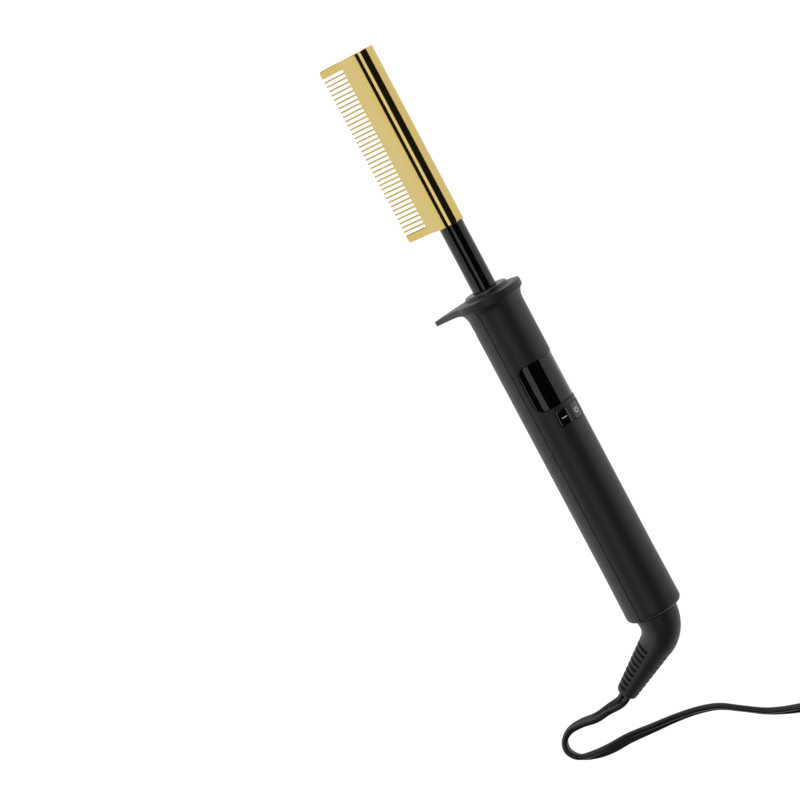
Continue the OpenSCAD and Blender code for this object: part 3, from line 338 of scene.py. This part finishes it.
def plug_rings():
    """The plug's body: a flat tail that swells into a block with finger grooves."""
    tail, body, edge = 12, 21, 1.6
    tail_w, throat_w, body_w = 4.25, 5.25, 12
    tail_t, body_t = 2.75, 5.35
    groove_places, groove_depth = (19, 22.2, 25.4), 0.8
    places = [(x, 0) for x in steps(0, tail + body - edge, 66)]
    places += [(tail + body - edge * (1 - math.sin(a)), edge * (1 - math.cos(a)))
               for a in steps(0, math.pi / 2, 6)[1:]]
    rings = []
    for x, lost in places:
        w = tail_w + (throat_w - tail_w) * min(x / 8, 1) + (body_w - throat_w) * ease((x - 5) / 10)
        w -= lost + groove_depth * sum(ease((1.1 - abs(x - g)) / 0.9) for g in groove_places)
        t = tail_t + (body_t - tail_t) * ease(x / tail) - lost
        rings.append([(x, y, z) for y, z in round_box(w, t, min(2.6, t - 0.1, w - 0.1), 6)])
    return rings


at_plug = Matrix.Translation(plug_at) @ Matrix.Rotation(math.radians(COIL_END + 90), 4, "Z")
plug = make("moulded_plug", *skin(plug_rings()), TABLE @ at_plug, sharp=50)

for piece, node, slot in (
    (boot, "swivel_boot", "boot_rubber"), (tie, "cord_tie", "cord_pvc"),
    (plug, "plug_body", "plug_plastic"),
):
    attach(piece, "cord_swivel")
    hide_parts(node)
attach(lead, "cord_swivel")
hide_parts("mains_cord", "cord_coil")

# ---------- comb ----------

COMB_START, COMB_END = 211, 302.5
SPINE_R, FLANK = 6.8, math.radians(27.29)
PLATE_T, TIP_T, REACH, SLOT_ROOT = 2.2, 1.2, 26.4, 12.7
SLOT_W, SLOT_PITCH, SLOT_FIRST, SLOTS = 1.42, 2.283, 215.662, 37
SLOT_CORNER, BREAK_EDGE, END_EDGE = 0.35, 0.13, 0.4
COMB_CORNER, SPINE_ROUND, END_RUN = 1.3, 0.8, 1.4


def comb_section():
    """Half of the comb's section as [y, z], from its back's middle to a tooth's end."""
    back = [(SPINE_R * math.sin(a), SPINE_R * math.cos(a))
            for a in steps(0, math.pi / 2 + FLANK, 26)]
    leave, root = Vector(back[-1]), Vector((PLATE_T / 2, -SLOT_ROOT))
    tip = Vector((TIP_T / 2, -REACH))
    start, end = root + 1.7 * (leave - root).normalized(), root + 1.9 * (tip - root).normalized()
    blend = [(1 - t) ** 2 * start + 2 * t * (1 - t) * root + t * t * end for t in steps(0, 1, 12)]
    drawn = [Vector(p) for p in back] + [leave.lerp(start, t) for t in (0.33, 0.67)] + blend + [tip]

    def half(z):
        for a, b in zip(drawn, drawn[1:]):
            if a.y >= z >= b.y and a.y > b.y:
                return a.lerp(b, (a.y - z) / (a.y - b.y)).x
        return tip.x

    low = [-SLOT_ROOT + BREAK_EDGE, -SLOT_ROOT, -SLOT_ROOT - SLOT_CORNER, -13.6, -14.2, -15, -17,
           -19, -21, -23, -24.4, -25.1, -25.5, -25.8, -26.0]
    high = [p for p in drawn if p.y > low[0] + 0.05]
    rows = [(p.x, p.y) for p in high] + [(half(z), z) for z in low]
    return rows + [(0.55, -26.22), (0.42, -26.34), (0.22, -26.4), (0, -26.4)]


def comb():
    """Both sides of the comb as a grid along it and down its section, with walls between."""
    rows = comb_section()
    normals = []
    for j, (y, z) in enumerate(rows):
        a, b = rows[max(j - 1, 0)], rows[min(j + 1, len(rows) - 1)]
        normals.append(Vector((a[1] - b[1], b[0] - a[0])).normalized())
    normals[0], normals[-1] = Vector((0, 1)), Vector((0, -1))
    root = min(range(len(rows)), key=lambda j: abs(rows[j][1] + SLOT_ROOT))
    # Columns along the comb: place, what borders there, what an end's edge loses, side it faces
    columns = []
    for x, side in ((COMB_START, 1), (COMB_END, -1)):
        for off, lost in ((0, END_EDGE), (0.06, 0.2), (0.2, 0.06), (END_EDGE, 0), (END_RUN, 0)):
            columns.append((x + side * off, "end", lost, side))
    for i in range(SLOTS):
        mid = SLOT_FIRST + i * SLOT_PITCH
        for side in (-1, 1):
            edge = mid + side * SLOT_W / 2
            columns += [
                (edge + side * BREAK_EDGE, "tooth", 0, side), (edge, "slot_edge", BREAK_EDGE, side),
                (edge - side * SLOT_CORNER, "slot", 0, side),
            ]
    columns.sort(key=lambda column: column[0])
    points, faces, index = [], [], {}

    def point(i, j, sign):
        x, kind, lost, side = columns[i]
        y, z = rows[j]
        sign = 1 if y == 0 else sign
        if (i, j, sign) in index:
            return index[i, j, sign]
        if kind != "end":
            cut = j >= root and kind == "slot_edge" or j == root and kind == "slot"
            lost = BREAK_EDGE if cut else 0
        below = min(max(COMB_CORNER - REACH - z, 0), COMB_CORNER)
        above = min(max(z - SPINE_R + SPINE_ROUND, 0), SPINE_ROUND)
        if kind == "end":
            from_end = abs(x - (COMB_START if side > 0 else COMB_END))
            x += side * max(1 - from_end / END_RUN, 0) * (
                COMB_CORNER - math.sqrt(COMB_CORNER ** 2 - below ** 2)
                + SPINE_ROUND - math.sqrt(SPINE_ROUND ** 2 - above ** 2)
            )
        inward = min(lost, abs(y)) if y else lost
        y, z = y - inward * normals[j].x, z - inward * normals[j].y
        index[i, j, sign] = len(points)
        points.append((x, sign * y, z))
        return index[i, j, sign]

    def empty(i, j):
        return j >= root and {columns[i][1], columns[i + 1][1]} <= {"slot", "slot_edge"}

    # Edges that only one face has border a slot or the comb's outline, and get a wall
    edges = {}
    for i in range(len(columns) - 1):
        for j in range(len(rows) - 1):
            corners = [(i, j), (i + 1, j), (i + 1, j + 1), (i, j + 1)]
            if empty(i, j):
                if j == root and columns[i][1] != columns[i + 1][1]:
                    left = columns[i][1] == "slot_edge"
                    corners = [corners[0], corners[1], corners[3] if left else corners[2]]
                else:
                    continue
            for sign in (1, -1):
                face = [point(a, b, sign) for a, b in corners]
                faces.append(face if sign > 0 else face[::-1])
            for a, b in zip(corners, corners[1:] + corners[:1]):
                if (a, b) in edges:
                    del edges[a, b]
                else:
                    edges[b, a] = True
    for a, b in edges:
        wall = [point(*a, 1), point(*b, 1), point(*b, -1), point(*a, -1)]
        wall = [p for k, p in enumerate(wall) if p not in wall[:k]]
        if len(wall) > 2:
            faces.append(wall)
    return points, faces


gilt_comb = make("gilt_comb", *comb(), TOOL, sharp=50)

# ---------- neck and collar ----------

NECK_START, NECK_END, NECK_BORE_R, NECK_R = 150, 221, 4.65, 6.05
RING_START, RING_END, RING_R = 152, 154, 8
neck = make("enamelled_neck", *turned([
    (NECK_START, NECK_BORE_R), (NECK_START, NECK_R), (RING_START, NECK_R), (RING_START, RING_R),
    (RING_END, RING_R), (RING_END, NECK_R), (NECK_END, NECK_R), (NECK_END, NECK_BORE_R),
]), TOOL)

SPIGOT_START, GUARD_FACE, COLLAR_FACE = 166, 174, 176.4
COLLAR_BORE_R, SPIGOT_R, COLLAR_R, COLLAR_ROUND = 6.1, 9, 10.95, 0.6


def collar_outline():
    """The heat-proof collar, with its moulded rings on the face."""
    face = [(COLLAR_FACE - depth, r) for r, depth in (
        (10.3, 0), (9.7, 0), (9.55, 0.25), (9.25, 0.25), (9.1, 0), (8.5, 0), (8.35, 0.25),
        (8.05, 0.25), (7.9, 0), (6.9, 0), (6.6, 0.3), (6.1, 0.3),
    )]
    rim = [(x, r) for r, x in quarter(
        (COLLAR_R - COLLAR_ROUND, COLLAR_FACE - COLLAR_ROUND), COLLAR_ROUND, 0)]
    spigot = [(SPIGOT_START, COLLAR_BORE_R), (SPIGOT_START, SPIGOT_R)]
    return spigot + [(GUARD_FACE, SPIGOT_R), (GUARD_FACE, COLLAR_R)] + rim + face


collar = make("ringed_collar", *turned(collar_outline()), TOOL, sharp=30)

# ---------- window and keys ----------


def pad(low, high, corner, edge, thick, form):
    """A shell with round corners and edges. low and high are [x, v]; form(v, drop) is [y, z]."""
    turns, run, across = 6, 8, 20

    def sheet(inset, drop):
        c = corner - inset
        bend = [(c - c * math.cos(a), c - c * math.sin(a)) for a in steps(0, math.pi / 2, turns)]
        length = high[0] - low[0] - 2 * inset
        stations = bend + [(x, 0) for x in steps(c, length - c, run)[1:-1]]
        stations += [(length - x, side) for x, side in reversed(bend)]
        return [
            [(low[0] + inset + x, *form(v, drop))
             for v in steps(low[1] + inset + side, high[1] - inset - side, across)]
            for x, side in stations
        ]

    layers = [sheet(edge * (1 - math.sin(a)), edge * (1 - math.cos(a)))
              for a in steps(0, math.pi / 2, 4)] + [sheet(0, thick)]
    wide, tall = across + 1, len(layers[0])
    points = [p for layer in layers for row in layer for p in row]
    rim = [(0, k) for k in range(across)] + [(r, across) for r in range(tall - 1)]
    rim += [(tall - 1, k) for k in range(across, 0, -1)] + [(r, 0) for r in range(tall - 1, 0, -1)]
    faces = []
    for layer, flip in ((0, False), (len(layers) - 1, True)):
        first = layer * wide * tall
        for r in range(tall - 1):
            for k in range(across):
                a = first + r * wide + k
                face = (a, a + 1, a + wide + 1, a + wide)
                faces.append(face[::-1] if flip else face)
    for layer in range(len(layers) - 1):
        for (r, k), (s, m) in zip(rim, rim[1:] + rim[:1]):
            here, below = layer * wide * tall, (layer + 1) * wide * tall
            faces.append((here + r * wide + k, below + r * wide + k, below + s * wide + m,
                          here + s * wide + m))
    return points, faces


def round_the_handle(radius, start=0):
    """Places a pad by its arc length round the handle, from an angle in degrees."""
    def form(v, drop):
        a = math.radians(start) + v / radius
        return (radius - drop) * math.sin(a), (radius - drop) * math.cos(a)
    return form


LENS_START, LENS_END, LENS_R, LENS_T, LENS_CORNER = 112.8, 136.6, 13.75, 1.5, 5
PAD_EDGE = 0.5
half_arc = LENS_R * math.radians(80)
lens = make("smoked_window", *pad(
    (LENS_START, -half_arc), (LENS_END, half_arc), LENS_CORNER, PAD_EDGE, LENS_T,
    round_the_handle(LENS_R)
), TOOL, sharp=60)

HANDLE_R = 14
KEY_R, KEY_START, KEY_L, KEY_HALF_ANGLE, KEY_CORNER = 14.2, 102.5, 8, 14.25, 1.4
KEY_SKIRT, LIP_R, LIP_OUT, LIP_LOWEST = 3.1, 11.3, 0.6, 4.2
KEY_PITCH, SWITCH_Y, POST_FOOT = 34, 7.4, 3.1
KEYS = {"minus": KEY_PITCH, "power": 0, "plus": -KEY_PITCH}


def straight_up(v, drop):
    return v, math.sqrt((KEY_R - drop) ** 2 - v * v)


def key_cap(angle):
    """A cap that follows the handle, its lip under the shell and its post to the switch."""
    low = HANDLE_R * math.sin(math.radians(angle - KEY_HALF_ANGLE))
    high = HANDLE_R * math.sin(math.radians(angle + KEY_HALF_ANGLE))
    end = KEY_START + KEY_L
    points, faces = pad(
        (KEY_START, low), (end, high), KEY_CORNER, PAD_EDGE, KEY_SKIRT, straight_up)
    lip = pad(
        (KEY_START - LIP_OUT, low + 0.02), (end + LIP_OUT, high - 0.02), 0.4, 0.1, 1,
        lambda v, drop: (v, math.sqrt(max((LIP_R - drop) ** 2 - v * v, LIP_LOWEST ** 2))))
    y = SWITCH_Y * angle / KEY_PITCH
    half_l, half_w = 1.5, 1.3
    post_top = math.sqrt((LIP_R - 0.5) ** 2 - (abs(y) + half_w) ** 2)
    post = skin([
        [(KEY_START + KEY_L / 2 + px, y + py, z) for px, py in round_box(half_l, half_w, 0.2, 2)]
        for z in (post_top, POST_FOOT)
    ])
    for more_points, more_faces in (lip, post):
        first = len(points)
        points = points + more_points
        faces = faces + [tuple(first + k for k in face) for face in more_faces]
    return points, faces


def printed(strokes, angle, width=0.42):
    """Ink on a key: strokes of [x, arc] points, from the key's middle."""
    form = round_the_handle(KEY_R + 0.015, angle)
    points, faces = [], []
    for stroke in strokes:
        first = len(points)
        for i, at in enumerate(stroke):
            at = Vector(at)
            ahead = Vector(stroke[min(i + 1, len(stroke) - 1)]) - Vector(stroke[max(i - 1, 0)])
            side = Vector((-ahead.y, ahead.x)).normalized() * width / 2
            for p in (at + side, at, at - side):
                points.append((KEY_START + KEY_L / 2 + p.x, *form(p.y, 0)))
        for i in range(len(stroke) - 1):
            a = first + 3 * i
            faces += [(a, a + 1, a + 4, a + 3), (a + 1, a + 2, a + 5, a + 4)]
    return points, faces


def bar(from_point, to_point):
    return [tuple(Vector(from_point).lerp(Vector(to_point), t)) for t in steps(0, 1, 8)]


ring = [(-0.1 + 1.25 * math.cos(a), 1.25 * math.sin(a))
        for a in steps(math.radians(35), math.radians(325), 28)]
MARKS = {
    "minus": [bar((0, -1.45), (0, 1.45))],
    "power": [ring, bar((0.2, 0), (1.5, 0))],
    "plus": [bar((0, -1.35), (0, 1.35)), bar((-1.35, 0), (-0.22, 0)), bar((0.22, 0), (1.35, 0))],
}
caps, marks = {}, {}
for key, angle in KEYS.items():
    caps[key] = make(f"key_cap_{key}", *key_cap(angle), TOOL, sharp=60)
    marks[key] = make(f"mark_{key}", *printed(MARKS[key], angle), TOOL)
    for piece, slot in ((caps[key], "key_black"), (marks[key], "white_plastic")):
        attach(piece, f"key_body_{key}")
    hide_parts(f"key_{key}")

for piece, node, slot in (
    (gilt_comb, "comb_head", "gold_metal"), (neck, "neck_tube", "neck_enamel"),
    (collar, "neck_collar", "collar_plastic"), (lens, "display_lens", "lens_black"),
):
    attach(piece, "tool")
    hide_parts(node)

# ---------- materials ----------


def colour(code):
    """An sRGB hex value as linear light."""
    parts = [int(code[i:i + 2], 16) / 255 for i in (1, 3, 5)]
    return [p / 12.92 if p <= 0.04045 else ((p + 0.055) / 1.055) ** 2.4 for p in parts] + [1]


def add(tree, kind, inputs=(), **settings):
    """Adds a node with its settings, and links or sets its inputs."""
    node = tree.nodes.new(kind)
    for name, value in settings.items():
        setattr(node, name, value)
    for name, value in dict(inputs).items():
        if isinstance(value, bpy.types.NodeSocket):
            tree.links.new(value, node.inputs[name])
        else:
            node.inputs[name].default_value = value
    return node


def surface(name, code, other, roughness, grain, depth, spread=0.08, stretch=(1, 1, 1),
            edge=0.0, **sockets):
    """A finish whose colour, gloss and height vary with a grain of some millimetres.

    depth is the grain's height and edge how far a hard edge is rounded, both in millimetres."""
    material = bpy.data.materials.new(name)
    material.use_nodes = True
    tree = material.node_tree
    tree.nodes.clear()
    where = add(tree, "ShaderNodeTexCoord").outputs["Object"]
    lined_up = add(tree, "ShaderNodeMapping", {
        "Vector": where, "Scale": stretch}, vector_type="TEXTURE").outputs["Vector"]
    fine = add(tree, "ShaderNodeTexNoise", {
        "Vector": lined_up, "Scale": 1 / (grain * MM), "Detail": 3.0, "Roughness": 0.6})
    broad = add(tree, "ShaderNodeTexNoise", {
        "Vector": lined_up, "Scale": 1 / (14 * MM), "Detail": 2.0})
    tint = add(tree, "ShaderNodeMix", {
        "Factor": broad.outputs["Fac"], "A": colour(code), "B": colour(other)}, data_type="RGBA")
    gloss = add(tree, "ShaderNodeMapRange", {
        "Value": fine.outputs["Fac"], "To Min": roughness - spread / 2,
        "To Max": roughness + spread / 2})
    bump_inputs = {"Height": fine.outputs["Fac"], "Distance": depth * MM, "Strength": 1.0}
    if edge:
        bump_inputs["Normal"] = add(tree, "ShaderNodeBevel", {
            "Radius": edge * MM}, samples=4).outputs["Normal"]
    bump = add(tree, "ShaderNodeBump", bump_inputs)
    shader = add(tree, "ShaderNodeBsdfPrincipled", {
        "Base Color": tint.outputs["Result"], "Roughness": gloss.outputs["Result"],
        "Normal": bump.outputs["Normal"], **sockets})
    add(tree, "ShaderNodeOutputMaterial", {"Surface": shader.outputs["BSDF"]})
    return material


# Brass, milled and gilt: warm and bright, with faint lines left by the mill along the comb
gilt_brass = surface("gilt_brass_milled", "#C2AB68", "#BFA763", 0.1, 0.25, 0.00005, 0.03,
                     stretch=(18, 1, 1), Metallic=1.0)
# Steel tube, stove enamelled: deep black and glassy, with a very slight orange peel of 1.5 mm
black_enamel = surface("black_enamel_stoved", "#060606", "#080808", 0.06, 1.5, 0.0012, 0.03,
                       IOR=1.4)
# Glass-filled nylon, moulded: a dull grey-black with faint flow in it
nylon = surface("glass_filled_nylon_moulded", "#141415", "#1A1A1B", 0.36, 0.3, 0.006, IOR=1.53,
                edge=0.15)
# ABS, moulded in a spark-eroded mould: matt and evenly grained. The real grit of about
# 0.05 mm doesn't show at this distance, so it is drawn at 0.25 mm
matt_abs = surface("abs_spark_eroded", "#131314", "#171718", 0.47, 0.25, 0.012, 0.1, IOR=1.42,
                   edge=0.25)
# Acrylic, smoked and polished: black until light catches it
smoked_acrylic = surface("acrylic_smoked_polished", "#040405", "#060607", 0.04, 3, 0.0006, 0.02,
                         IOR=1.4)
# ABS, moulded in a polished mould: piano black with soft edges
glossy_abs = surface("abs_high_gloss", "#060606", "#080809", 0.09, 1.2, 0.001, 0.04, IOR=1.53)
# Ink, pad printed: flat white, a touch uneven
white_ink = surface("ink_pad_printed", "#E9E9E6", "#D8D8D4", 0.5, 0.15, 0.002, IOR=1.5)
# Thermoplastic rubber, moulded: charcoal, dry to the touch, with a soft bloom
boot_rubber = surface("rubber_moulded", "#151517", "#1A1A1C", 0.48, 0.3, 0.01, 0.12, IOR=1.42,
                      edge=0.12)
# PVC, extruded over twin wires: satin black with a smooth skin
lead_pvc = surface("pvc_extruded", "#0D0D0E", "#111112", 0.33, 0.8, 0.004, 0.08, IOR=1.42)
# Silicone, moulded: a soft black strap
tie_silicone = surface("silicone_moulded", "#101011", "#161617", 0.5, 0.3, 0.006, IOR=1.41)
# PVC, moulded over the plug's pins: satin black
plug_pvc = surface("pvc_moulded", "#151516", "#1A1A1C", 0.38, 0.4, 0.008, IOR=1.52)
# Brass, stamped and nickel plated: pale yellow with drawn lines
blade_brass = surface("brass_stamped", "#D9C48A", "#CDB777", 0.28, 0.2, 0.001, 0.1,
                      stretch=(1, 12, 1), Metallic=1.0, edge=0.25)
# Steel, turned and zinc plated: grey and slightly milky
zinc_steel = surface("steel_zinc_plated", "#A9ABAD", "#9A9C9F", 0.34, 0.3, 0.002, 0.1,
                     Metallic=1.0, edge=0.2)
# Steel, drawn: the heater's and the sensor's sheath, straw-coloured where it ran hot
drawn_steel = surface("steel_drawn", "#B8B2A8", "#A39A8C", 0.3, 0.2, 0.001, 0.1,
                      stretch=(14, 1, 1), Metallic=1.0)
# Steatite, fired: a chalky cream, as thermal fuses have
ceramic = surface("steatite_fired", "#E8E4D8", "#DDD7C8", 0.55, 0.3, 0.006, IOR=1.6)
# Glass fibre, braided and varnished: a 0.4 mm weave on the heater's wires
glass_sleeve = surface("glass_fibre_braided", "#F0EEE6", "#D9D4C4", 0.6, 0.4, 0.05,
                       stretch=(3, 1, 1), IOR=1.5)
# Polyimide, wound: brown and clear over the sensor's wires
polyimide = surface("polyimide_wound", "#7D3C2C", "#8C4A30", 0.3, 0.5, 0.01, IOR=1.7)
# Glass, coated: the dark face of the display module
display_glass = surface("glass_coated", "#39404A", "#333A44", 0.08, 2, 0.0005, 0.02, IOR=1.52)
# Acetal, moulded: milky white with a waxy sheen
acetal = surface("acetal_moulded", "#E6E6E2", "#DCDCD6", 0.35, 0.5, 0.004, IOR=1.48, edge=0.1)
# Glass-epoxy board, with solder mask: green over a faint weave of 0.5 mm
solder_mask = surface("glass_epoxy_masked", "#2F5D3A", "#285233", 0.3, 0.5, 0.008, IOR=1.55)
# Epoxy, moulded: the flat black of chips and switches
chip_epoxy = surface("epoxy_moulded", "#18191B", "#202124", 0.55, 0.15, 0.006, IOR=1.55,
                     edge=0.08)
# PVC film, shrunk: the capacitor's navy sleeve
shrunk_film = surface("pvc_film_shrunk", "#27324A", "#2C3852", 0.3, 1, 0.01, IOR=1.52)
# Copper alloy, turned: the slip rings and springs, bright where they rub
ring_copper = surface("copper_alloy_turned", "#D9A066", "#C98F4E", 0.24, 0.2, 0.001, 0.12,
                      Metallic=1.0)
# Copper wires in PVC: soft and black
wire_pvc = surface("pvc_wire_extruded", "#2A2B2D", "#303234", 0.4, 0.5, 0.004, IOR=1.52)

FINISHES = {
    matt_abs: ("front_shell", "rear_shell"),
    zinc_steel: ("case_screws", "board_screws"),
    drawn_steel: ("heater_rod", "temperature_sensor"),
    ceramic: ("thermal_fuse",),
    glass_sleeve: ("heater_wires",),
    polyimide: ("sensor_wires",),
    display_glass: ("lcd_module",),
    acetal: ("lcd_holder", "stem_minus", "stem_power", "stem_plus", "swivel_bush",
             "swivel_spindle", "brush_holder"),
    solder_mask: ("circuit_board",),
    chip_epoxy: ("controller_chip", "triac", "switch_housings"),
    shrunk_film: ("smoothing_capacitor",),
    ring_copper: ("slip_rings", "contact_springs"),
    wire_pvc: ("mains_wires",),
    blade_brass: ("plug_blades",),
}
for finish, names in FINISHES.items():
    for name in names:
        for holder in nodes[name].material_slots:
            holder.material = finish

for piece, finish in (
    (gilt_comb, gilt_brass), (neck, black_enamel), (collar, nylon), (lens, smoked_acrylic),
    (boot, boot_rubber), (lead, lead_pvc), (tie, tie_silicone), (plug, plug_pvc),
    *((cap, glossy_abs) for cap in caps.values()), *((mark, white_ink) for mark in marks.values()),
):
    piece.data.materials.append(finish)

# ---------- studio ----------

floor = make("white_floor", [(-4, -4, 0), (4, -4, 0), (4, 4, 0), (-4, 4, 0)], [(0, 1, 2, 3)],
             Matrix.Identity(4))
# Opal acrylic, lit from below: it glows, so the plain white stays white under the shadows
lit_white = surface("opal_acrylic_lit", "#A8A8A8", "#A4A4A4", 0.7, 2, 0.01, **{
    "Emission Color": (1, 1, 1, 1), "Emission Strength": 0.96})
floor.data.materials.append(lit_white)

tool_mid = handle_end + along_tool * 0.19
to_camera = (camera.location - tool_mid).normalized()
lean = to_camera.dot(along_tool)
facing = (to_camera - lean * along_tool).normalized()
rightward = along_tool.cross(facing)


def softbox(name, low, high, length, brightness, far=1.35, ahead=0):
    """A soft light seen, from the tool, between two angles round it; 0 faces the camera.

    far is its distance, and ahead the degrees by which it leans towards the comb's tip."""
    turn = math.radians((low + high) / 2)
    level = math.sqrt(1 - lean * lean)
    out = level * (math.cos(turn) * facing + math.sin(turn) * rightward) - lean * along_tool
    out = math.cos(math.radians(ahead)) * out + math.sin(math.radians(ahead)) * along_tool
    out.normalize()
    light = bpy.data.lights.new(name, "AREA")
    light.shape = "RECTANGLE"
    light.size = 2 * far * math.tan(math.radians((high - low) / 2))
    light.size_y = length
    light.energy = 4 * brightness * light.size * light.size_y
    holder = bpy.data.objects.new(name, light)
    bpy.context.scene.collection.objects.link(holder)
    across = math.cos(turn) * rightward - math.sin(turn) * facing
    across = (across - across.dot(out) * out).normalized()
    holder.matrix_world = Matrix((
        across, out.cross(across), out)).transposed().to_4x4()
    holder.location = tool_mid + far * out
    holder.visible_camera = False


softbox("left_softbox", -104, -50, 1.8, 1.0)
softbox("top_strip", -20, 2, 1.8, 1.15)
softbox("right_softbox", 58, 78, 1.8, 0.95)
softbox("tip_softbox", -45, 15, 1.2, 1.5, ahead=64)

# A trace of light from all round keeps the blacks from closing up
world = bpy.data.worlds.new("studio")
bpy.context.scene.world = world
world.use_nodes = True
world.node_tree.nodes["Background"].inputs["Color"].default_value = (1, 1, 1, 1)
world.node_tree.nodes["Background"].inputs["Strength"].default_value = 0.015
bpy.context.scene.view_settings.view_transform = "Standard"
